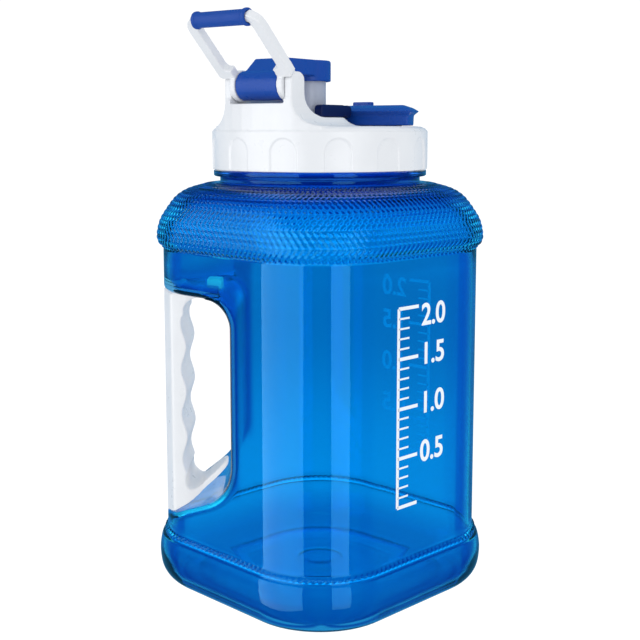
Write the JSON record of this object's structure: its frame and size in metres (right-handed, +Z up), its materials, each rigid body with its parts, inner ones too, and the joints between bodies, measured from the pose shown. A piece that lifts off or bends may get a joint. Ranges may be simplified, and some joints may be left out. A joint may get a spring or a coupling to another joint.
{
  "type": "large water jug",
  "caption": "Square clear blue water jug with a corner finger handle, a screw cap with a flip-up drinking spout, a wide pour lid and a swinging carry loop.",
  "frame": {"origin": "centre of the bottle's base, on the surface that it stands on", "axes": "+Z up the bottle; -X to the corner with the handle, Y through the other two corners"},
  "size_m": [0.1548, 0.1548, 0.2635],
  "materials": {
    "clear_blue": "clear blue-tinted, glossy",
    "white_plastic": "satin white moulding",
    "blue_plastic": "opaque blue, satin gloss",
    "blue_grip": "soft opaque blue",
    "silicone": "translucent soft seal",
    "pin_steel": "plain pin"
  },
  "bodies": {
    "jug": {"bottle": "clear_blue", "handle": "white_plastic"},
    "cap_seal": {"cap_gasket": "silicone"},
    "cap": {"cap_shell": "white_plastic", "spout": "white_plastic", "hinge_pin": "pin_steel", "pour_lid_bracket": "blue_plastic", "pour_lid_pin": "pin_steel"},
    "flip": {"flip_cap": "blue_plastic", "flip_cap_seal": "silicone"},
    "carry_loop": {"bail": "white_plastic", "bail_grip": "blue_grip"},
    "lid": {"pour_lid": "blue_plastic", "pour_lid_seal": "silicone"}
  },
  "joints": [
    {"name": "cap_lift", "type": "slide", "parent": "jug", "child": "cap_seal", "axis": [0, 0, 1], "range_m": [0, 0.0065]},
    {"name": "cap_turn", "type": "hinge", "parent": "cap_seal", "child": "cap", "pos_m": [0, 0, 0], "axis": [0, 0, 1], "range_deg": [0, 450]},
    {"name": "flip_open", "type": "hinge", "parent": "cap", "child": "flip", "pos_m": [-0.0241, -0.03317, 0.2335], "axis": [0.809, -0.5878, 0], "range_deg": [0, 105]},
    {"name": "bail_swing", "type": "hinge", "parent": "cap", "child": "carry_loop", "pos_m": [-0.0241, -0.03317, 0.2335], "axis": [-0.809, 0.5878, 0], "range_deg": [-58, 104]},
    {"name": "pour_lid_open", "type": "hinge", "parent": "cap", "child": "lid", "pos_m": [0.00176, 0.00243, 0.2227], "axis": [0.809, -0.5878, 0], "range_deg": [0, 80]}
  ],
  "couplings": [
    {"joint": "cap_lift", "follows": "cap_turn", "m_per_rad": 0.00079577}
  ]
}
